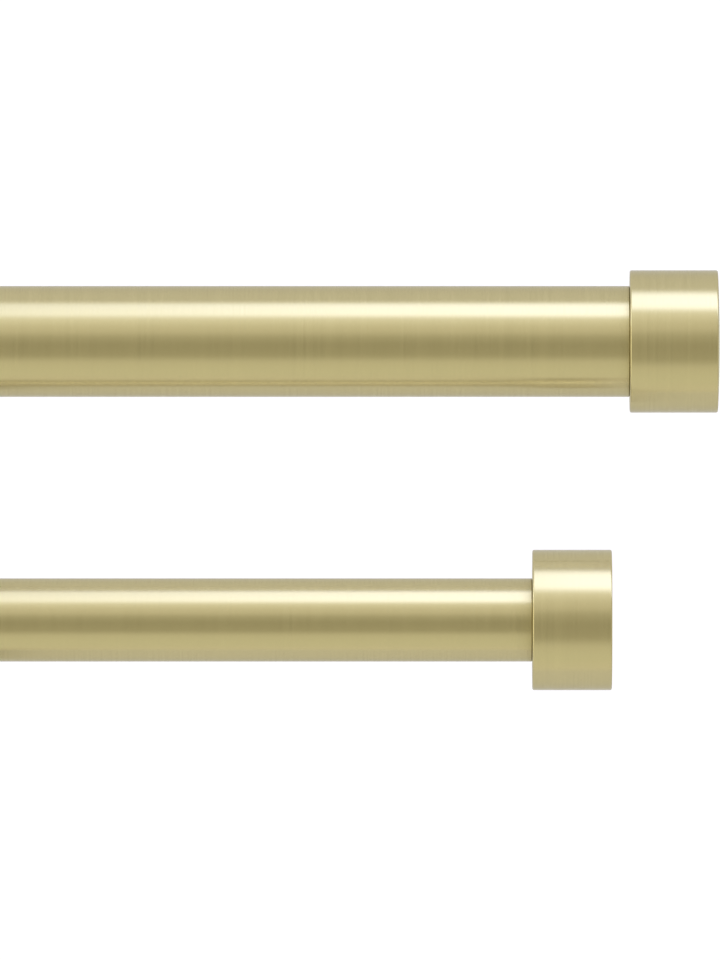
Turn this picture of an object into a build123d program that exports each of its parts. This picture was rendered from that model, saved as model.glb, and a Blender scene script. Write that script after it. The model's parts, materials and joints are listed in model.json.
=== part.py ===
from build123d import *
from dataclasses import dataclass
import math
import os

# A double curtain pole. A thick front pole and a thin rear pole run side by side at one height.
# Each is a pair of telescopic tubes, closed at both ends by a drum-shaped cap on a ribbed plug.
# Two wall brackets carry them: each has a square socket on a plate, an arm that slides in the
# socket, and two open cradles with clamp screws.
# X runs along the poles, Y points into the wall and Z points up. The origin lies on the wall
# plane, midway between the brackets and level with their arms. Sizes are in millimetres.

# Tubes
front_tube_d = 25.4
rear_tube_d = 19.05
tube_wall = 0.8
slide_wall = 0.7
tube_edge_break = 0.2
bush_gap = 0.8

# Lengths along the poles
closed_length = 711.0
rest_extension = 51.0
rear_setback = 24.5
closing_gap = 0.5
tail_clearance = 8.0

# End caps
front_cap_overhang = 3.55
front_cap_length = 20.5
front_cap_crown = 0.35
rear_cap_overhang = 6.5
rear_cap_length = 18.2
rear_cap_crown = 0.05
cap_floor = 6.0
cap_edge_radius = 0.45

# Plugs and studs that hold the caps
plug_length = 16.0
plug_head = 1.5
plug_rib_count = 8
plug_rib_height = 1.5
plug_rib_width = 1.8
plug_lead_in = 1.2
stud_d = 6.0
stud_in_plug = 13.0
stud_chamfer = 0.6
blind_hole_spare = 1.5

# Glide bushes between the tubes
bush_length = 14.0
bush_flange = 1.5
bush_rim_inset = 0.1
bush_slit = 1.5
bush_edge_radius = 0.35
tail_bush_lip = 1.2

# Running, press and thread clearances, on the radius or on each side
glide_clearance = 0.06
press_clearance = 0.02
thread_clearance = 0.05
arm_clearance = 0.1
seat_clearance = 0.15
screw_clearance = 0.2

# Where the brackets hold the poles
rear_projection = 70.0
pole_spacing = 63.5
bracket_inset = 185.0

# Wall plate and socket
plate_side_margin = 6.5
plate_end_margin = 12.0
plate_thickness = 3.5
plate_edge_radius = 1.0
wall_hole_d = 5.2
wall_hole_spacing = 56.0
wall_countersink_d = 10.0
socket_wall = 2.4
socket_to_cradle = 8.0
socket_edge_radius = 1.6
socket_root_radius = 1.5
lock_boss_d = 10.5
lock_boss_height = 3.0
lock_boss_setback = 11.0

# Sliding arm
arm_size = 12.0
arm_tail_gap = 2.5
arm_nose = 3.0
arm_edge_radius = 1.0

# Cradles
cradle_width = 16.0
cradle_wall = 2.5
cradle_rise = 8.0
cradle_lip_radius = 1.0
cradle_side_chamfer = 0.4
foot_inset = 3.0
front_foot_height = 4.0
foot_root_radius = 2.0
clamp_boss_d = 9.0
clamp_boss_height = 2.5
boss_chamfer = 0.6

# Screws
clamp_screw_d = 4.0
clamp_head_d = 7.0
clamp_head_height = 2.6
foot_screw_d = 4.0
foot_screw_bite = 5.0
foot_hole_spare = 0.5
foot_head_d = 7.8
lock_screw_d = 5.0
lock_head_d = 9.0
lock_head_height = 3.2
head_standoff = 0.8
head_edge_radius = 0.4
slot_width = 1.1
slot_depth = 1.2
screw_tip_gap = 0.1
screw_tip_chamfer = 0.4

# Places worked out from the sizes above
arm_top = arm_size / 2
socket_half = arm_top + arm_clearance + socket_wall
plate_width = 2 * (socket_half + plate_side_margin)
plate_height = wall_hole_spacing + 2 * plate_end_margin
rest_half_length = (closed_length + rest_extension) / 2
bracket_x = rest_half_length - bracket_inset


@dataclass
class Pole:
    """One telescopic pole: its tubes, its caps and where it runs."""

    name: str
    tube_r: float
    cap_overhang: float
    cap_length: float
    cap_crown: float
    half_length: float
    axis_y: float

    @property
    def bore_r(self):
        return self.tube_r - tube_wall

    @property
    def slide_r(self):
        return self.bore_r - bush_gap

    @property
    def slide_bore_r(self):
        return self.slide_r - slide_wall

    @property
    def cap_r(self):
        return self.tube_r + self.cap_overhang

    @property
    def cap_hole_depth(self):
        return self.cap_length - cap_floor

    @property
    def cap_face(self):
        """How far along X the inner sides of the two caps lie, either way."""
        return self.half_length - self.cap_length

    @property
    def mouth(self):
        """The open end of the outer tube, where the sliding tube comes out."""
        return self.cap_face - rest_extension - closing_gap - bush_flange

    @property
    def tail(self):
        """The hidden end of the sliding tube, short of the fixed plug when the pole is closed."""
        return plug_length + tail_clearance + bush_flange + rest_extension - self.cap_face

    @property
    def seat_r(self):
        return self.tube_r + seat_clearance

    @property
    def cup_r(self):
        return self.seat_r + cradle_wall


front = Pole(
    name="front",
    tube_r=front_tube_d / 2,
    cap_overhang=front_cap_overhang,
    cap_length=front_cap_length,
    cap_crown=front_cap_crown,
    half_length=rest_half_length,
    axis_y=-rear_projection - pole_spacing,
)
rear = Pole(
    name="rear",
    tube_r=rear_tube_d / 2,
    cap_overhang=rear_cap_overhang,
    cap_length=rear_cap_length,
    cap_crown=rear_cap_crown,
    half_length=rest_half_length - rear_setback,
    axis_y=-rear_projection,
)
pole_z = arm_top + front_foot_height + front.cup_r
socket_reach = rear_projection - rear.cup_r - socket_to_cradle


def turned(*outline):
    """A solid turned about X from an outline of (x, radius) points."""
    return revolve(make_face(Polyline(*outline, close=True)), Axis.X)


def ring(x_start, x_end, inner_r, outer_r):
    return turned((x_start, inner_r), (x_end, inner_r), (x_end, outer_r), (x_start, outer_r))


def nearest(vertices, x, y):
    return vertices.sort_by_distance((x, y, 0))[0]


# Pole pieces. End pieces are drawn for a left end: x = 0 is the cap's inner side, the cap lies
# on the negative side and the tube on the positive side.
def end_cap(pole):
    """A turned drum with a slightly crowned outer end and a blind hole for the stud."""
    hole_r = stud_d / 2 + thread_clearance
    rim = pole.cap_crown - pole.cap_length
    crown_r = (pole.cap_r**2 + pole.cap_crown**2) / (2 * pole.cap_crown)
    half_way = pole.cap_r / 2
    half_way_x = crown_r - pole.cap_length - math.sqrt(crown_r**2 - half_way**2)
    side = Polyline(
        (-pole.cap_length, 0),
        (-pole.cap_hole_depth, 0),
        (-pole.cap_hole_depth, hole_r),
        (0, hole_r),
        (0, pole.cap_r),
        (rim, pole.cap_r),
    )
    crown = ThreePointArc((rim, pole.cap_r), (half_way_x, half_way), (-pole.cap_length, 0))
    outline = make_face(side + crown)
    corners = outline.vertices()
    rims = [nearest(corners, 0, pole.cap_r), nearest(corners, rim, pole.cap_r)]
    return revolve(fillet(rims, cap_edge_radius), Axis.X)


def end_plug(bore_r):
    """A ribbed plug that presses into a tube until its round head is flush with the tube's end."""
    tip_r = bore_r - press_clearance
    core_r = bore_r - plug_rib_height
    envelope = turned(
        (0, 0),
        (plug_length, 0),
        (plug_length, core_r),
        (plug_length - plug_lead_in, tip_r),
        (0, tip_r),
    )
    rib = Pos(tip_r / 2, 0) * Rectangle(tip_r, plug_rib_width)
    star = Circle(core_r)
    for n in range(plug_rib_count):
        star += Rot(0, 0, 360 * n / plug_rib_count) * rib
    body = envelope & extrude(Plane.YZ * star, plug_length)
    depth = stud_in_plug + blind_hole_spare
    hole_r = stud_d / 2 + thread_clearance
    return body + ring(0, plug_head, hole_r, tip_r) - ring(0, depth, 0, hole_r)


def stud(pole):
    """The threaded rod that screws the cap to its plug."""
    rod_r = stud_d / 2
    in_cap = pole.cap_hole_depth - blind_hole_spare
    return turned(
        (-in_cap, 0),
        (stud_in_plug, 0),
        (stud_in_plug, rod_r - stud_chamfer),
        (stud_in_plug - stud_chamfer, rod_r),
        (stud_chamfer - in_cap, rod_r),
        (-in_cap, rod_r - stud_chamfer),
    )


def bush_slit_cutter(start, end, reach):
    """The slit along a bush's top, which lets it spring into its tube."""
    return Pos((start + end) / 2, 0, reach / 2) * Box(end - start, bush_slit, reach)


def mouth_bush(pole):
    """A split bush pressed into the outer tube, with its flange on the tube's end."""
    inner_r = pole.slide_r + glide_clearance
    rim_r = pole.tube_r - bush_rim_inset
    sleeve = ring(-bush_length, 0, inner_r, pole.bore_r - press_clearance)
    sleeve -= bush_slit_cutter(-bush_length, -bush_flange, pole.tube_r)
    outline = Pos(bush_flange / 2, (inner_r + rim_r) / 2) * Rectangle(bush_flange, rim_r - inner_r)
    rim = nearest(outline.vertices(), bush_flange, rim_r)
    return sleeve + revolve(fillet(rim, bush_edge_radius), Axis.X)


def tail_bush(pole):
    """A split bush on the hidden end of the sliding tube, which runs in the outer tube."""
    outer_r = pole.bore_r - glide_clearance
    sleeve = ring(0, bush_length, pole.slide_r + press_clearance, outer_r)
    sleeve -= bush_slit_cutter(bush_flange, bush_length, pole.tube_r)
    return sleeve + ring(-bush_flange, 0, pole.slide_bore_r - tail_bush_lip, outer_r)


def pole_tube(cap_end, open_end, inner_r, outer_r):
    """A tube with its outer edge broken where it meets a cap."""
    inward = math.copysign(tube_edge_break, open_end - cap_end)
    return turned(
        (cap_end, inner_r),
        (open_end, inner_r),
        (open_end, outer_r),
        (cap_end + inward, outer_r),
        (cap_end, outer_r - tube_edge_break),
    )


def pole_pieces(pole):
    """Every piece of one pole, by name, in place."""
    axis = Pos(0, pole.axis_y, pole_z)
    left_end = axis * Pos(-pole.cap_face)
    right_end = axis * Pos(pole.cap_face) * Rot(0, 0, 180)
    outer_tube = pole_tube(-pole.cap_face, pole.mouth, pole.bore_r, pole.tube_r)
    sliding_tube = pole_tube(pole.cap_face, pole.tail, pole.slide_bore_r, pole.slide_r)
    return {
        "outer_tube": axis * outer_tube,
        "sliding_tube": axis * sliding_tube,
        "mouth_bush": axis * Pos(pole.mouth) * mouth_bush(pole),
        "tail_bush": axis * Pos(pole.tail) * tail_bush(pole),
        "left_cap": left_end * end_cap(pole),
        "left_plug": left_end * end_plug(pole.bore_r),
        "left_stud": left_end * stud(pole),
        "right_cap": right_end * end_cap(pole),
        "right_plug": right_end * end_plug(pole.slide_bore_r),
        "right_stud": right_end * stud(pole),
    }


# Screws point up. A cheese head lies below z = 0, and a countersunk head starts there.
def cylinder_up(radius, start, end):
    return Pos(0, 0, (start + end) / 2) * Cylinder(radius, end - start)


def shank(diameter, length):
    rod = cylinder_up(diameter / 2, 0, length)
    return chamfer(rod.edges().sort_by(Axis.Z)[-1], screw_tip_chamfer)


def driver_slot(head_d, face_z):
    return Pos(0, 0, face_z + slot_depth / 2) * Box(2 * head_d, slot_width, slot_depth)


def cheese_screw(diameter, length, head_d, head_height):
    head = cylinder_up(head_d / 2, -head_height, 0)
    head = fillet(head.edges().sort_by(Axis.Z)[0], head_edge_radius)
    return head + shank(diameter, length) - driver_slot(head_d, -head_height)


def countersink(diameter, head_d, clearance=0.0):
    """A cone from a head's face at z = 0 up to its shank."""
    depth = (head_d - diameter) / 2
    return Pos(0, 0, depth / 2) * Cone(head_d / 2 + clearance, diameter / 2 + clearance, depth)


def countersunk_screw(diameter, length, head_d):
    return shank(diameter, length) + countersink(diameter, head_d) - driver_slot(head_d, 0)


# Bracket pieces are drawn about x = 0.
lock_y = lock_boss_setback - socket_reach
lock_boss_z = -socket_half - lock_boss_height
clamp_boss_face = cradle_wall + clamp_boss_height
into_wall = Rot(-90, 0, 0)


def boss(diameter, start, end):
    """A round boss that stands down from start to end, chamfered round its end."""
    body = cylinder_up(diameter / 2, end, start)
    return chamfer(body.edges().sort_by(Axis.Z)[0], boss_chamfer)


def wall_plate():
    """An upright plate with rounded ends and two countersunk holes."""
    plate = extrude(Plane.XZ * SlotOverall(plate_height, plate_width, rotation=90), plate_thickness)
    plate = fillet(plate.faces().sort_by(Axis.Y)[0].edges(), plate_edge_radius)
    hole = cylinder_up(wall_hole_d / 2, 0, plate_thickness)
    hole += countersink(wall_hole_d, wall_countersink_d)
    for z in (-wall_hole_spacing / 2, wall_hole_spacing / 2):
        plate -= Pos(0, -plate_thickness, z) * into_wall * hole
    return plate


def wall_base():
    """The wall plate with the square socket that stands on it, cast as one."""
    length = socket_reach - plate_thickness
    middle_y = -(socket_reach + plate_thickness) / 2
    socket = Pos(0, middle_y, 0) * Box(2 * socket_half, length, 2 * socket_half)
    socket = fillet(socket.edges().filter_by(Axis.Y), socket_edge_radius)
    base = wall_plate() + socket
    seam = socket.faces().sort_by(Axis.Y)[-1].center().Y
    root = [edge for edge in base.edges() if edge.bounding_box().size.Y < 1e-6]
    root = [edge for edge in root if abs(edge.center().Y - seam) < 1e-6]
    root = [edge for edge in root if abs(edge.center().Z) < socket_half + 1e-6]
    base = fillet(root, socket_root_radius)
    base += Pos(0, lock_y) * boss(lock_boss_d, 0, lock_boss_z)
    bore_size = arm_size + 2 * arm_clearance
    base -= Pos(0, middle_y) * Box(bore_size, length, bore_size)
    lock_hole_r = lock_screw_d / 2 + thread_clearance
    return base - Pos(0, lock_y) * cylinder_up(lock_hole_r, lock_boss_z, 0)


def lock_screw():
    """The screw that presses up on the arm through the socket's floor."""
    tip_z = -arm_top - arm_clearance
    head_z = lock_boss_z - head_standoff
    screw = cheese_screw(lock_screw_d, tip_z - head_z, lock_head_d, lock_head_height)
    return Pos(0, lock_y, head_z) * screw


def arm():
    """The square bar that slides in the socket, drilled for the cradles' foot screws."""
    back = -plate_thickness - arm_tail_gap
    nose = front.axis_y - front.cup_r + foot_inset - arm_nose
    bar = Pos(0, (back + nose) / 2, 0) * Box(arm_size, back - nose, arm_size)
    bar = fillet(bar.edges(), arm_edge_radius)
    hole = cylinder_up(foot_screw_d / 2 + screw_clearance, 0, arm_size)
    hole += countersink(foot_screw_d, foot_head_d, thread_clearance)
    for pole in (rear, front):
        bar -= Pos(0, pole.axis_y, -arm_top) * hole
    return bar


def cradle(pole):
    """An open cup for one pole, on a foot that stands on the arm, with a clamp boss in front."""
    foot_bottom = arm_top - pole_z
    foot_half = pole.cup_r - foot_inset
    cup = Circle(pole.cup_r) + Pos(0, cradle_rise / 2) * Rectangle(2 * pole.cup_r, cradle_rise)
    foot = Pos(0, foot_bottom / 2) * Rectangle(2 * foot_half, -foot_bottom)
    above = Pos(0, cradle_rise + pole.cup_r) * Rectangle(2 * pole.cup_r, 2 * pole.cup_r)
    seat = Circle(pole.seat_r) + Pos(0, pole.cup_r) * Rectangle(2 * pole.seat_r, 2 * pole.cup_r)
    section = cup + foot - above - seat
    root_z = -math.sqrt(pole.cup_r**2 - foot_half**2)
    corners = section.vertices()
    roots = [nearest(corners, side * foot_half, root_z) for side in (-1, 1)]
    section = fillet(roots, foot_root_radius)
    lips = section.vertices().sort_by(Axis.Y)[-4:]
    section = fillet(lips, min(cradle_lip_radius, 0.45 * cradle_wall))
    body = extrude(Plane.YZ * section, cradle_width / 2, both=True)
    sides = body.faces().filter_by(Axis.X)
    body = chamfer(sides.edges(), cradle_side_chamfer)
    boss_start = -(pole.seat_r + pole.cup_r) / 2
    boss_end = -pole.cup_r - clamp_boss_height
    body += into_wall * boss(clamp_boss_d, boss_start, boss_end)
    clamp_hole_r = clamp_screw_d / 2 + thread_clearance
    body -= into_wall * cylinder_up(clamp_hole_r, boss_end, 0)
    foot_hole_r = foot_screw_d / 2 + thread_clearance
    hole_top = foot_bottom + foot_screw_bite + foot_hole_spare
    body -= cylinder_up(foot_hole_r, foot_bottom, hole_top)
    return Pos(0, pole.axis_y, pole_z) * body


def foot_screw(pole):
    """The screw that holds a cradle to the arm, driven from below."""
    screw = countersunk_screw(foot_screw_d, arm_size + foot_screw_bite, foot_head_d)
    return Pos(0, pole.axis_y, -arm_top) * screw


def clamp_screw(pole):
    """The screw that holds a pole still in its cradle, driven from the room side."""
    head = -pole.cup_r - clamp_boss_height - head_standoff
    tip = -pole.tube_r - screw_tip_gap
    screw = cheese_screw(clamp_screw_d, tip - head, clamp_head_d, clamp_head_height)
    return Pos(0, pole.axis_y, pole_z) * into_wall * Pos(0, 0, head) * screw


def bracket_pieces():
    """Every piece of one bracket, by name."""
    pieces = {"wall_base": wall_base(), "arm": arm(), "lock_screw": lock_screw()}
    for pole in (front, rear):
        pieces[pole.name + "_cradle"] = cradle(pole)
        pieces[pole.name + "_foot_screw"] = foot_screw(pole)
        pieces[pole.name + "_clamp_screw"] = clamp_screw(pole)
    return pieces


def assembly():
    """Every piece of the double pole, by name, in place."""
    pieces = {}
    for pole in (front, rear):
        for name, solid in pole_pieces(pole).items():
            pieces[f"{pole.name}_{name}"] = solid
    for name, solid in bracket_pieces().items():
        pieces["left_" + name] = Pos(-bracket_x) * solid
        pieces["right_" + name] = Pos(bracket_x) * solid
    return pieces


os.makedirs("parts", exist_ok=True)
for name, solid in assembly().items():
    export_step(solid, f"parts/{name}.step")
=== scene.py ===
import json
import math
from collections import namedtuple

import bmesh
import bpy
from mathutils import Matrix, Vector

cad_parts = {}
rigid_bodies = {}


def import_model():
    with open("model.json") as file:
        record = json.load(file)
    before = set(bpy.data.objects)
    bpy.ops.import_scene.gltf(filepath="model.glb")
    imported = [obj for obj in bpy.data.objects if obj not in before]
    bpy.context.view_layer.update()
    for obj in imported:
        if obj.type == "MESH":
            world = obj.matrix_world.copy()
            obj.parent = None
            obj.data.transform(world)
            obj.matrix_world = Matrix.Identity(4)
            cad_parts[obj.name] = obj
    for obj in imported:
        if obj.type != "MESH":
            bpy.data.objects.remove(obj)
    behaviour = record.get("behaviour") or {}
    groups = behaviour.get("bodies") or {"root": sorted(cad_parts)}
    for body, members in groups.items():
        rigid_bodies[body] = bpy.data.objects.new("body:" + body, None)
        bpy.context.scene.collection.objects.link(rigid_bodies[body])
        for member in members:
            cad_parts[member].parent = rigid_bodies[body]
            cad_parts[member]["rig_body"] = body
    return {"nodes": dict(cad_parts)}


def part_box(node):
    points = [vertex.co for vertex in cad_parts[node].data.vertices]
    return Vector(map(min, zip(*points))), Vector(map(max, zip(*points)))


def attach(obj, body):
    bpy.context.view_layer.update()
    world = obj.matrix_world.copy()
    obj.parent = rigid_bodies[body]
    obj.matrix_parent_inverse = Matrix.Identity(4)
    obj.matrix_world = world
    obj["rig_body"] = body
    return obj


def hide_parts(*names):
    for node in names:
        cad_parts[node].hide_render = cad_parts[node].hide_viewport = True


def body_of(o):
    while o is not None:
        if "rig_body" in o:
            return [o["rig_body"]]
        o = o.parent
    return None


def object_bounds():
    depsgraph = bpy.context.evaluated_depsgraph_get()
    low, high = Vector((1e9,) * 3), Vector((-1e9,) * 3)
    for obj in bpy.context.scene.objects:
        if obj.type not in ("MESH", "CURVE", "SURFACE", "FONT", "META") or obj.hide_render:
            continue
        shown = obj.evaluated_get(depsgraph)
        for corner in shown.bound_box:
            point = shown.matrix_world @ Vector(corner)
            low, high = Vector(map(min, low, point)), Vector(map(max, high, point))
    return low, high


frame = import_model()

# Two brushed brass curtain poles, seen from straight above at their left ends. The poles run along
# X, the wall is towards +Y and the room towards -Y. Lengths are in metres unless a name says mm.

CAD_LOW, CAD_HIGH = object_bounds()
MM = 0.001
FRONT = "front"
REAR = "rear"
POLES = (FRONT, REAR)

# The photograph's frame. Its long side is across the sensor.
PHOTO_WIDTH_PX = 720
PHOTO_HEIGHT_PX = 960
PIXELS_PER_MM = 4.386
FRONT_END_PX = 719.5
POLES_MIDDLE_PX = 480.7
LENS_MM = 1000.0
SENSOR_MM = 36.0
CLIP_START_SHARE = 0.1
CLIP_END_SHARE = 4


def axis_of(node):
    """The middle of a round piece that lies along X, as y and z, and its outer radius."""
    low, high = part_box(node)
    return (low.y + high.y) / 2, (low.z + high.z) / 2, (high.z - low.z) / 2


def add_object(name, data):
    """A new object in the scene with this mesh or camera."""
    added = bpy.data.objects.new(name, data)
    bpy.context.scene.collection.objects.link(added)
    return added


def set_up_camera():
    """Looks straight down with the room at the top of the picture."""
    front_y, pole_z, _ = axis_of("front_outer_tube")
    rear_y, _, _ = axis_of("rear_outer_tube")
    metres_per_px = MM / PIXELS_PER_MM
    end_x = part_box("front_left_cap")[0].x
    x = end_x + (FRONT_END_PX - PHOTO_WIDTH_PX / 2) * metres_per_px
    y = (front_y + rear_y) / 2 - (POLES_MIDDLE_PX - PHOTO_HEIGHT_PX / 2) * metres_per_px
    distance = PHOTO_HEIGHT_PX * metres_per_px * LENS_MM / SENSOR_MM
    data = bpy.data.cameras.new("camera")
    data.lens = LENS_MM
    data.sensor_width = SENSOR_MM
    data.clip_start = distance * CLIP_START_SHARE
    data.clip_end = distance * CLIP_END_SHARE
    camera = add_object("camera", data)
    camera.location = (x, y, pole_z + distance)
    camera.rotation_euler = (0, 0, math.pi)
    bpy.context.scene.camera = camera


# The colour mix node's own sockets go by number.
MIX_FIRST = 6
MIX_SECOND = 7
MIX_RESULT = 2


class Nodes:
    """Adds nodes to a tree and links them as they are made."""

    def __init__(self, tree):
        self.tree = tree
        tree.nodes.clear()

    def add(self, kind, inputs=None, **settings):
        """A new node. An input is a value, or another node's output to link it to."""
        node = self.tree.nodes.new(kind)
        for name, value in settings.items():
            setattr(node, name, value)
        for name, value in (inputs or {}).items():
            socket = node.inputs[name]
            if isinstance(value, bpy.types.NodeSocket):
                self.tree.links.new(value, socket)
            else:
                socket.default_value = value
        return node

    def math(self, operation, *values):
        inputs = dict(enumerate(values))
        return self.add("ShaderNodeMath", inputs, operation=operation).outputs[0]

    def mix(self, factor, first, second):
        """A blend of two colours."""
        inputs = {"Factor": factor, MIX_FIRST: first, MIX_SECOND: second}
        return self.add("ShaderNodeMix", inputs, data_type="RGBA").outputs[MIX_RESULT]

    def remap(self, value, from_low, from_high, to_low, to_high, interpolation="LINEAR"):
        inputs = {
            "Value": value,
            "From Min": from_low,
            "From Max": from_high,
            "To Min": to_low,
            "To Max": to_high,
        }
        node = self.add("ShaderNodeMapRange", inputs, interpolation_type=interpolation)
        return node.outputs["Result"]

    def mix_shaders(self, factor, first, second):
        """A blend of two shaders."""
        inputs = {0: factor, 1: first.outputs[0], 2: second.outputs[0]}
        return self.add("ShaderNodeMixShader", inputs)

    def add_shaders(self, first, second):
        """Two shaders added up."""
        return self.add("ShaderNodeAddShader", {0: first.outputs[0], 1: second.outputs[0]})

    def set_surface(self, surface):
        self.add("ShaderNodeOutputMaterial", {"Surface": surface.outputs[0]})


def new_material(name):
    material = bpy.data.materials.new(name)
    material.use_nodes = True
    return material, Nodes(material.node_tree)


# Studio
# What the poles reflect, by angle round the X axis: 0 is straight up and negative is towards the
# room. Each stop is (degrees, (red, green, blue)).
SURROUNDINGS = (
    (-90, (1.14, 1.14, 1.08)),
    (-48, (1.34, 1.33, 1.26)),
    (-24, (1.05, 1.01, 0.90)),
    (-4, (0.67, 0.64, 0.52)),
    (6, (0.575, 0.545, 0.43)),
    (26, (0.62, 0.59, 0.47)),
    (48, (1.01, 0.99, 0.86)),
    (66, (1.06, 1.05, 0.91)),
    (90, (1.13, 1.09, 0.98)),
)
BEYOND_THE_POLES = (1.9, 1.8, 1.5)
BEYOND_THE_CAPS = (0.8, 0.78, 0.7)
SIDE_START = 0.55
SIDE_FULL = 0.85
BACKGROUND = (1, 1, 1, 1)
SOFTBOX_TINT = (0.57, 0.645, 1.12)
SOFTBOX_STRENGTH = 2.3
SOFTBOX_DISTANCE = 0.5
SOFTBOX_ELEVATION = {FRONT: math.radians(21), REAR: math.radians(21.5)}
SOFTBOX_HEIGHT = {FRONT: 0.43, REAR: 0.468}
SOFTBOX_EDGE = 0.133
SOFTBOX_LENGTH = 2.4
# Along the poles a softbox is dim up to the first distance from its middle, and bright from the
# second one on.
SOFTBOX_DIM_X = 0.13
SOFTBOX_BRIGHT_X = 0.30
SOFTBOX_DIM_SHARE = 0.05
FILL_GLOW = {FRONT: (0.36, 0.36, 0.40), REAR: (0.62, 0.66, 0.84)}
FILL_INSET = 0.6 * MM
FLOOR_DROP = 0.5
FLOOR_SIZE = 60.0
FLOOR_PAINT = (0.5, 0.5, 0.5)
FLOOR_LIFT = 0.52
FLOOR_LIFT_TINT = (1.0, 1.0, 1.09)


def light_the_world():
    """Soft light that is even along X, with a darker stretch overhead."""
    world = bpy.data.worlds.new("studio")
    bpy.context.scene.world = world
    world.use_nodes = True
    nodes = Nodes(world.node_tree)
    direction = nodes.add("ShaderNodeTexCoord").outputs["Generated"]
    parts = nodes.add("ShaderNodeSeparateXYZ", {0: direction}).outputs
    angle = nodes.math("ARCTAN2", parts["Y"], parts["Z"])
    place = nodes.remap(angle, -math.pi, math.pi, 0.0, 1.0)
    ramp = nodes.add("ShaderNodeValToRGB", {"Fac": place})
    ramp.color_ramp.interpolation = "EASE"
    elements = ramp.color_ramp.elements
    while len(elements) < len(SURROUNDINGS):
        elements.new(0.5)
    for element, (degrees, colour) in zip(elements, SURROUNDINGS):
        element.position = (degrees + 180) / 360
        element.color = (*colour, 1)
    colour = ramp.outputs["Color"]
    to_caps = nodes.math("MULTIPLY", parts["X"], -1.0)
    for reach, side in ((parts["X"], BEYOND_THE_POLES), (to_caps, BEYOND_THE_CAPS)):
        share = nodes.remap(reach, SIDE_START, SIDE_FULL, 0.0, 1.0, "SMOOTHSTEP")
        colour = nodes.mix(share, colour, (*side, 1))
    seen = nodes.add("ShaderNodeLightPath").outputs["Is Camera Ray"]
    colour = nodes.mix(seen, colour, BACKGROUND)
    background = nodes.add("ShaderNodeBackground", {"Color": colour})
    nodes.add("ShaderNodeOutputWorld", {"Surface": background.outputs[0]})


def add_plane(name, width, height):
    """A flat sheet that belongs to the studio."""
    mesh = bpy.data.meshes.new(name)
    x, y = width / 2, height / 2
    mesh.from_pydata([(-x, -y, 0), (x, -y, 0), (x, y, 0), (-x, y, 0)], [], [(0, 1, 2, 3)])
    plane = add_object(name, mesh)
    return plane


def glow_through(nodes, glow):
    """Ends a lamp's material: it glows and hides nothing behind it."""
    nodes.set_surface(nodes.add_shaders(glow, nodes.add("ShaderNodeBsdfTransparent")))


def add_softbox(pole):
    """A long soft lamp on the pole's room side, brightest at the pole's ends."""
    y, z, _ = axis_of(pole + "_outer_tube")
    height = SOFTBOX_HEIGHT[pole]
    elevation = SOFTBOX_ELEVATION[pole]
    box = add_plane(pole + "_softbox", SOFTBOX_LENGTH, height)
    toward = Vector((0, -math.cos(elevation), math.sin(elevation)))
    box.location = Vector((0, y, z)) + toward * SOFTBOX_DISTANCE
    box.rotation_euler = (math.pi / 2 - elevation, 0, 0)
    box.visible_camera = False
    material, nodes = new_material(pole + "_softbox_cloth")
    place = nodes.add("ShaderNodeTexCoord").outputs["Object"]
    parts = nodes.add("ShaderNodeSeparateXYZ", {0: place}).outputs
    outward = nodes.math("ABSOLUTE", parts["X"])
    along = nodes.remap(
        outward, SOFTBOX_DIM_X, SOFTBOX_BRIGHT_X, SOFTBOX_DIM_SHARE, 1.0, "SMOOTHSTEP"
    )
    inward = nodes.math("SUBTRACT", height / 2, nodes.math("ABSOLUTE", parts["Y"]))
    across = nodes.remap(inward, 0.0, SOFTBOX_EDGE, 0.0, SOFTBOX_STRENGTH, "SMOOTHSTEP")
    strength = nodes.math("MULTIPLY", along, across)
    glow = nodes.add("ShaderNodeEmission", {"Color": (*SOFTBOX_TINT, 1), "Strength": strength})
    glow_through(nodes, glow)
    box.data.materials.append(material)
    return box


def link_pieces(lamp, role, pieces, state):
    """Sets which pieces this lamp lights (receiver), or which ones shade it (blocker)."""
    linked = bpy.data.collections.new(f"{lamp.name}_{role}")
    for piece in pieces:
        linked.objects.link(piece)
    for entry in linked.collection_objects:
        entry.light_linking.link_state = state
    setattr(lamp.light_linking, role + "_collection", linked)


def add_fills(pole, other, by_pole):
    """Strips inside the other pole and its caps that only this pole sees, so that it mirrors a
    bright studio there and not its neighbour's dark back. They move with the other pole."""
    material, nodes = new_material(pole + "_fill_glow")
    glow = nodes.add("ShaderNodeEmission", {"Color": (*FILL_GLOW[pole], 1)})
    glow_through(nodes, glow)
    for name in ("outer_tube", "left_cap", "right_cap"):
        low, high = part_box(f"{other}_{name}")
        y, z, radius = axis_of(f"{other}_{name}")
        length = high.x - low.x - 2 * FILL_INSET
        strip = add_plane(f"{pole}_fill_by_{name}", length, 2 * (radius - FILL_INSET))
        strip.location = ((low.x + high.x) / 2, y, z)
        strip.rotation_euler = (math.pi / 2, 0, 0)
        strip.visible_camera = False
        strip.data.materials.append(material)
        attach(strip, body_of(frame["nodes"][f"{other}_{name}"])[0])
        link_pieces(strip, "receiver", by_pole[pole], "INCLUDE")
        link_pieces(strip, "blocker", by_pole[other], "EXCLUDE")


def light_the_poles(by_pole):
    """One softbox for the rear pole alone, one for all the rest, and the fills between the poles."""
    link_pieces(add_softbox(FRONT), "receiver", by_pole[REAR], "EXCLUDE")
    rear_softbox = add_softbox(REAR)
    link_pieces(rear_softbox, "receiver", by_pole[REAR], "INCLUDE")
    link_pieces(rear_softbox, "blocker", by_pole[FRONT], "EXCLUDE")
    add_fills(REAR, FRONT, by_pole)
    add_fills(FRONT, REAR, by_pole)


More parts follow.
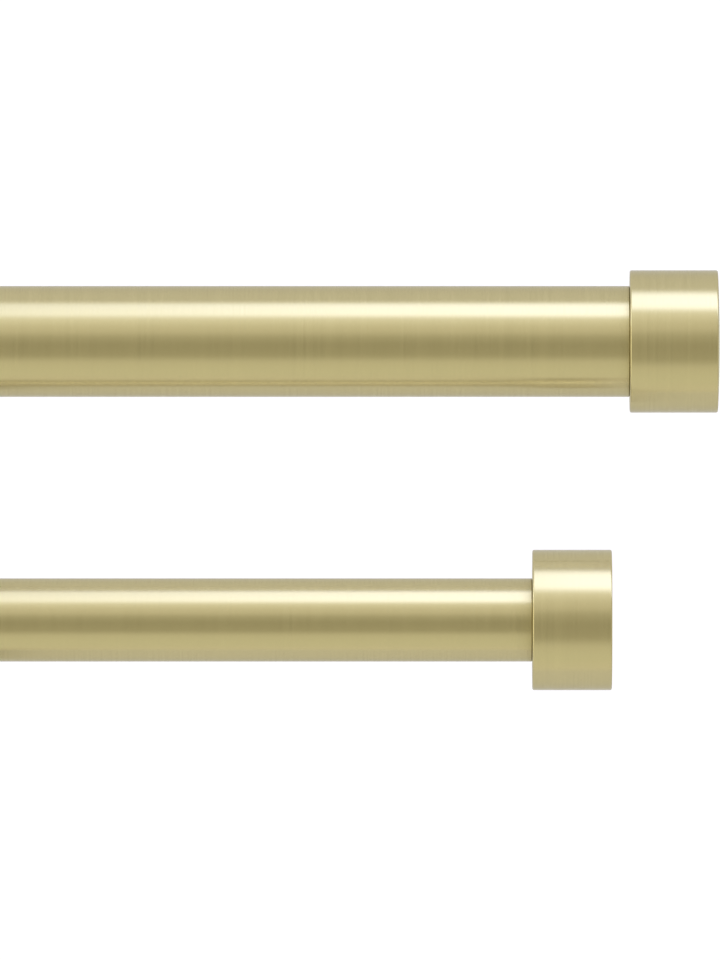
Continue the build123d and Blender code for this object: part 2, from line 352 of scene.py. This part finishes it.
def lay_floor():
    """A pale floor that shows as plain white, keeps soft shadows and hides nothing from below."""
    floor = add_plane("floor", FLOOR_SIZE, FLOOR_SIZE)
    floor.location.z = CAD_LOW.z - FLOOR_DROP
    material, nodes = new_material("floor_white")
    path = nodes.add("ShaderNodeLightPath").outputs
    direct = nodes.math("MAXIMUM", path["Is Camera Ray"], path["Is Glossy Ray"])
    direct = nodes.math("MAXIMUM", direct, path["Is Transmission Ray"])
    paint = nodes.add("ShaderNodeBsdfDiffuse", {"Color": (*FLOOR_PAINT, 1)})
    lift = nodes.math("MULTIPLY", direct, FLOOR_LIFT)
    white = nodes.add("ShaderNodeEmission", {"Color": (*FLOOR_LIFT_TINT, 1), "Strength": lift})
    behind = nodes.add("ShaderNodeNewGeometry").outputs["Backfacing"]
    clear = nodes.add("ShaderNodeBsdfTransparent")
    nodes.set_surface(nodes.mix_shaders(behind, nodes.add_shaders(paint, white), clear))
    floor.data.materials.append(material)


# Materials
BRASS = (0.49, 0.435, 0.24)
BRASS_RIM = (0.72, 0.72, 0.71, 1)
TURNED_ROUGHNESS = 0.27
BRACKET_ROUGHNESS = 0.3
TONE_SPREAD = 0.04
# How long the brush lines are along X, Y and Z
TURNED_LINES_MM = (0.45, 25.0, 25.0)
PLATE_LINES_MM = (0.4, 0.4, 14.0)
ARM_LINES_MM = (0.4, 14.0, 0.4)
CRADLE_LINES_MM = (0.4, 10.0, 10.0)
SCREW_LINES_MM = (0.4, 0.4, 0.4)
# Two layers of lines, and the fine one's share of the shade that they make
FINE_LINES = {"Scale": 1.0, "Detail": 3.0, "Roughness": 0.5}
BROAD_LINES = {"Scale": 0.22, "Detail": 2.0}
FINE_SHARE = 0.6
# The shades between which the tone goes from dark to light, and the scratches from none to all
TONE_SHADES = (0.3, 0.7)
SCRATCH_SHADES = (0.35, 0.65)
SCRATCH_SHARE = 0.16
SCRATCH_EXTRA_ROUGHNESS = 0.28
LINE_BUMP = 0.02
LINE_DEPTH = 0.02 * MM
ANISOTROPY = 0.8
ANISOTROPY_TURN = 0.25
OLIVE_PLASTIC = (0.075, 0.065, 0.03)
GRAIN = {"Scale": 2500.0, "Detail": 3.0}
GRAIN_TONE_SPREAD = 0.2
GRAIN_BUMP = 0.3
GRAIN_DEPTH = 0.02 * MM
GRAIN_SHADES = (0.3, 0.7)
PLASTIC_ROUGHNESS = (0.42, 0.55)


def tones(colour, spread):
    """The colour made darker and lighter by a spread."""
    return [(*(c * (1 + way * spread) for c in colour), 1) for way in (-1, 1)]


def turned_place(nodes, place):
    """Coordinates for a turned finish, whose X also grows with the radius. So the rings on a flat
    end lie as close as those on the side."""
    parts = nodes.add("ShaderNodeSeparateXYZ", {0: place}).outputs
    flat = nodes.add("ShaderNodeCombineXYZ", {"Y": parts["Y"], "Z": parts["Z"]}).outputs[0]
    radius = nodes.add("ShaderNodeVectorMath", {0: flat}, operation="LENGTH").outputs["Value"]
    depth = nodes.math("ADD", parts["X"], radius)
    inputs = {"X": depth, "Y": parts["Y"], "Z": parts["Z"]}
    return nodes.add("ShaderNodeCombineXYZ", inputs).outputs[0]


def brush_lines(nodes, lines_mm, turned):
    """The fine brush lines, and the shade that they and the broad ones make together."""
    place = nodes.add("ShaderNodeTexCoord").outputs["Object"]
    if turned:
        place = turned_place(nodes, place)
    scale = [1 / (length * MM) for length in lines_mm]
    lines = nodes.add("ShaderNodeMapping", {"Vector": place, "Scale": scale}).outputs[0]
    fine = nodes.add("ShaderNodeTexNoise", {"Vector": lines, **FINE_LINES}).outputs["Fac"]
    broad = nodes.add("ShaderNodeTexNoise", {"Vector": lines, **BROAD_LINES}).outputs["Fac"]
    fine_part = nodes.math("MULTIPLY", fine, FINE_SHARE)
    broad_part = nodes.math("MULTIPLY", broad, 1 - FINE_SHARE)
    return fine, nodes.math("ADD", fine_part, broad_part)


def brushed_brass(name, lines_mm, roughness=BRACKET_ROUGHNESS, turned=False):
    """Brushed metal, smooth between scratches that scatter light more widely. A turned finish has
    its lines round the X axis."""
    material, nodes = new_material(name)
    fine, shade = brush_lines(nodes, lines_mm, turned)
    tone = nodes.mix(nodes.remap(shade, *TONE_SHADES, 0.0, 1.0), *tones(BRASS, TONE_SPREAD))
    bump = nodes.add(
        "ShaderNodeBump", {"Height": fine, "Strength": LINE_BUMP, "Distance": LINE_DEPTH}
    )
    settings = {
        "Base Color": tone,
        "Metallic": 1.0,
        "Specular Tint": BRASS_RIM,
        "Normal": bump.outputs[0],
    }
    scratched = nodes.add(
        "ShaderNodeBsdfPrincipled",
        {**settings, "Roughness": roughness + SCRATCH_EXTRA_ROUGHNESS},
    )
    if turned:
        tangent = nodes.add("ShaderNodeTangent", direction_type="RADIAL", axis="X")
        settings["Tangent"] = tangent.outputs[0]
        settings["Anisotropic"] = ANISOTROPY
        settings["Anisotropic Rotation"] = ANISOTROPY_TURN
    smooth = nodes.add("ShaderNodeBsdfPrincipled", {**settings, "Roughness": roughness})
    scratches = nodes.remap(shade, *SCRATCH_SHADES, 0.0, SCRATCH_SHARE)
    nodes.set_surface(nodes.mix_shaders(scratches, smooth, scratched))
    return material


def moulded_plastic(name, colour):
    """Matt plastic with a faint moulded grain."""
    material, nodes = new_material(name)
    place = nodes.add("ShaderNodeTexCoord").outputs["Object"]
    grain = nodes.add("ShaderNodeTexNoise", {"Vector": place, **GRAIN}).outputs["Fac"]
    bump = nodes.add(
        "ShaderNodeBump", {"Height": grain, "Strength": GRAIN_BUMP, "Distance": GRAIN_DEPTH}
    )
    settings = {
        "Base Color": nodes.mix(grain, *tones(colour, GRAIN_TONE_SPREAD)),
        "Roughness": nodes.remap(grain, *GRAIN_SHADES, *PLASTIC_ROUGHNESS),
        "Normal": bump.outputs[0],
    }
    nodes.set_surface(nodes.add("ShaderNodeBsdfPrincipled", settings))
    return material


# Turned pieces. These are the sizes that their boxes in the frame don't give.
TUBE_WALL = 0.8 * MM
SLIDE_WALL = 0.7 * MM
TUBE_EDGE_BREAK = 0.2 * MM
CAP_EDGE_RADIUS = 0.45 * MM
CAP_CROWN = {FRONT: 0.35 * MM, REAR: 0.05 * MM}
CAP_FLOOR = 6.0 * MM
STUD_HOLE_RADIUS = 3.05 * MM
TURNED_SEGMENTS = 256
EDGE_STEPS = 8
CROWN_STEPS = 12
SHARP_ANGLE = math.radians(25)


def shade_and_store(work, mesh):
    """Moves a bmesh into a mesh, smooth but for its sharp edges."""
    for face in work.faces:
        face.smooth = True
    for edge in work.edges:
        edge.smooth = edge.calc_face_angle(0.0) < SHARP_ANGLE
    work.to_mesh(mesh)
    work.free()


def lathe(name, outline, centre):
    """A piece turned about a line along X through centre. The outline is (x, radius) points, in
    order round the section. Radius 0 lies on the axis."""
    work = bmesh.new()
    rings = []
    for x, radius in outline:
        if radius == 0:
            rings.append([work.verts.new((x, 0, 0))] * TURNED_SEGMENTS)
            continue
        angles = (2 * math.pi * n / TURNED_SEGMENTS for n in range(TURNED_SEGMENTS))
        ring = [work.verts.new((x, radius * math.cos(a), radius * math.sin(a))) for a in angles]
        rings.append(ring)
    for index, ring in enumerate(rings):
        following = rings[(index + 1) % len(rings)]
        for n in range(TURNED_SEGMENTS):
            m = (n + 1) % TURNED_SEGMENTS
            # A ring on the axis is one point, so the faces that meet it have three corners.
            corners = dict.fromkeys((ring[n], ring[m], following[m], following[n]))
            if len(corners) > 2:
                work.faces.new(tuple(corners))
    bmesh.ops.recalc_face_normals(work, faces=work.faces)
    mesh = bpy.data.meshes.new(name)
    shade_and_store(work, mesh)
    piece = add_object(name, mesh)
    piece.location = (0, centre[0], centre[1])
    return piece


def rounded_edge(centre_x, centre_r, start, end):
    """Points along a cap's rounded edge in the (x, radius) plane, with angles in degrees."""
    points = []
    for n in range(EDGE_STEPS + 1):
        a = math.radians(start + (end - start) * n / EDGE_STEPS)
        x = centre_x + CAP_EDGE_RADIUS * math.cos(a)
        points.append((x, centre_r + CAP_EDGE_RADIUS * math.sin(a)))
    return points


def tube(node, wall, cap_side):
    """A plain tube. cap_side is -1 or 1: the end that meets a cap has its outer edge broken."""
    low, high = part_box(node)
    y, z, outer = axis_of(node)
    inner = outer - wall
    cap_end, open_end = (low.x, high.x) if cap_side < 0 else (high.x, low.x)
    outline = [
        (cap_end, inner),
        (open_end, inner),
        (open_end, outer),
        (cap_end - cap_side * TUBE_EDGE_BREAK, outer),
        (cap_end, outer - TUBE_EDGE_BREAK),
    ]
    return lathe(node + "_turned", outline, (y, z))


def end_cap(node, crown, cap_side):
    """A drum-shaped cap with a blind hole. cap_side is -1 for its pole's -X end and 1 for +X."""
    low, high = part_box(node)
    y, z, outer = axis_of(node)
    pole_side_x = high.x if cap_side < 0 else low.x
    length = high.x - low.x
    edge = CAP_EDGE_RADIUS
    crown_radius = (outer**2 + crown**2) / (2 * crown)
    hole_end = length - CAP_FLOOR
    # The section starts on the pole's side, at x = 0, and goes out to the crowned end.
    section = [(hole_end, 0), (hole_end, STUD_HOLE_RADIUS), (0, STUD_HOLE_RADIUS)]
    section += rounded_edge(edge, outer - edge, 180, 90)
    section += rounded_edge(length - crown - edge, outer - edge, 90, 0)
    for n in range(1, CROWN_STEPS + 1):
        r = (outer - edge) * (1 - n / CROWN_STEPS)
        section.append((length - crown_radius + math.sqrt(crown_radius**2 - r**2), r))
    outline = [(pole_side_x + cap_side * x, r) for x, r in section]
    return lathe(node + "_turned", outline, (y, z))


def turn_tubes_and_caps(by_pole):
    """Finer tubes and caps in place of the CAD's."""
    turned_brass = brushed_brass("turned_brass", TURNED_LINES_MM, TURNED_ROUGHNESS, turned=True)
    for pole in POLES:
        crown = CAP_CROWN[pole]
        pieces = (
            (tube, "outer_tube", TUBE_WALL, -1, "carriage"),
            (end_cap, "left_cap", crown, -1, "carriage"),
            (tube, "sliding_tube", SLIDE_WALL, 1, pole + "_inner"),
            (end_cap, "right_cap", crown, 1, pole + "_inner"),
        )
        for make, name, size, cap_side, body in pieces:
            node = f"{pole}_{name}"
            piece = make(node, size, cap_side)
            piece.data.materials.append(turned_brass)
            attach(piece, body)
            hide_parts(node)
            by_pole[pole].append(piece)


# Threads, by the end of the screw's name: its shank's radius, its pitch, its head's height and the
# way from its tip to its head. A stud has no head: its thread goes on past its end.
Thread = namedtuple("Thread", ("radius", "pitch", "head_height", "toward_head"))
THREADS = {
    "clamp_screw": Thread(2.0 * MM, 0.7 * MM, 2.6 * MM, (0, -1, 0)),
    "foot_screw": Thread(2.0 * MM, 0.7 * MM, 1.9 * MM, (0, 0, -1)),
    "lock_screw": Thread(2.5 * MM, 0.8 * MM, 3.2 * MM, (0, 0, -1)),
    "stud": Thread(3.0 * MM, 1.0 * MM, -1.5 * MM, (1, 0, 0)),
}
STEPS_PER_TURN = 32
# Depth, half the root's width, and how far the cutter stands out of the shank, all in pitches
THREAD_DEPTH = 0.5413
THREAD_ROOT = 0.125
CUTTER_PROUD = 0.05
THREAD_FLANK = math.radians(30)
WELD_DISTANCE = 1e-7


def thread_cutter(name, tip, along, length, thread):
    """A helical ridge that leaves a thread when it is cut from a plain shank. It starts a turn
    before the tip and runs out of the shank over its last half turn."""
    radius, pitch = thread.radius, thread.pitch
    side = along.orthogonal().normalized()
    other_side = along.cross(side)
    root = radius - THREAD_DEPTH * pitch
    top = radius + CUTTER_PROUD * pitch
    clear = radius + CUTTER_PROUD * pitch / 2
    root_half = THREAD_ROOT * pitch
    top_half = root_half + (top - root) * math.tan(THREAD_FLANK)
    steps = int((length / pitch + 1) * STEPS_PER_TURN)
    work = bmesh.new()
    sections = []
    for n in range(steps + 1):
        angle = 2 * math.pi * n / STEPS_PER_TURN
        outward = side * math.cos(angle) + other_side * math.sin(angle)
        middle = tip + along * pitch * (n / STEPS_PER_TURN - 1)
        share = min(1.0, (steps - n) / (STEPS_PER_TURN / 2))
        low = clear + (root - clear) * share
        corners = ((low, -root_half), (low, root_half), (top, top_half), (top, -top_half))
        sections.append([work.verts.new(middle + outward * r + along * z) for r, z in corners])
    work.faces.new(sections[0])
    work.faces.new(sections[-1])
    for section, following in zip(sections, sections[1:]):
        for n in range(4):
            m = (n + 1) % 4
            work.faces.new((section[n], section[m], following[m], following[n]))
    bmesh.ops.recalc_face_normals(work, faces=work.faces)
    mesh = bpy.data.meshes.new(name)
    work.to_mesh(mesh)
    work.free()
    return mesh


def welded_copy(source, name):
    """A copy of a CAD mesh in which neighbouring faces share their corners."""
    mesh = bpy.data.meshes.new(name)
    corners = [vertex.co for vertex in source.vertices]
    mesh.from_pydata(corners, [], [tuple(face.vertices) for face in source.polygons])
    work = bmesh.new()
    work.from_mesh(mesh)
    bmesh.ops.remove_doubles(work, verts=work.verts, dist=WELD_DISTANCE)
    work.to_mesh(mesh)
    work.free()
    return mesh


def cut_away(piece, cutter_mesh):
    """Takes the cutter's space out of a piece, and shades what is left."""
    cutter = add_object(cutter_mesh.name, cutter_mesh)
    cut = piece.modifiers.new("thread", "BOOLEAN")
    cut.operation = "DIFFERENCE"
    cut.solver = "EXACT"
    cut.object = cutter
    evaluated = piece.evaluated_get(bpy.context.evaluated_depsgraph_get())
    result = bpy.data.meshes.new_from_object(evaluated)
    piece.modifiers.clear()
    bpy.data.objects.remove(cutter)
    work = bmesh.new()
    work.from_mesh(result)
    shade_and_store(work, result)
    piece.data = result


def threaded(name, thread):
    """A copy of a screw or stud with its thread cut."""
    mesh = welded_copy(frame["nodes"][name].data, name + "_threaded")
    piece = add_object(mesh.name, mesh)
    along = Vector(thread.toward_head)
    low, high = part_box(name)
    span = abs((high - low).dot(along))
    tip = (low + high) / 2 - along * span / 2
    length = span - thread.head_height - thread.pitch / 2
    cut_away(piece, thread_cutter(name + "_cutter", tip, along, length, thread))
    return piece


def cut_threads(by_pole):
    """Screws and studs with real threads in place of the CAD's plain ones."""
    screw_brass = brushed_brass("screw_brass", SCREW_LINES_MM)
    for name, node in frame["nodes"].items():
        for ending, thread in THREADS.items():
            if not name.endswith(ending):
                continue
            piece = threaded(name, thread)
            piece.data.materials.clear()
            piece.data.materials.append(screw_brass)
            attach(piece, body_of(node)[0])
            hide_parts(name)
            pole = name.split("_")[0]
            if pole in by_pole:
                by_pole[pole].append(piece)


def dress(ending, material):
    """Gives the CAD pieces whose names have this ending their finish."""
    for name, node in frame["nodes"].items():
        if name.endswith(ending):
            node.data.materials.clear()
            node.data.materials.append(material)


def main():
    set_up_camera()
    light_the_world()
    lay_floor()
    bpy.context.scene.view_settings.view_transform = "Standard"

    cad = frame["nodes"]
    by_pole = {pole: [cad[name] for name in cad if name.startswith(pole)] for pole in POLES}
    turn_tubes_and_caps(by_pole)
    cut_threads(by_pole)
    light_the_poles(by_pole)

    dress("wall_base", brushed_brass("plate_brass", PLATE_LINES_MM))
    dress("arm", brushed_brass("arm_brass", ARM_LINES_MM))
    dress("cradle", brushed_brass("cradle_brass", CRADLE_LINES_MM))
    olive_plastic = moulded_plastic("olive_plastic", OLIVE_PLASTIC)
    dress("plug", olive_plastic)
    dress("bush", olive_plastic)


main()
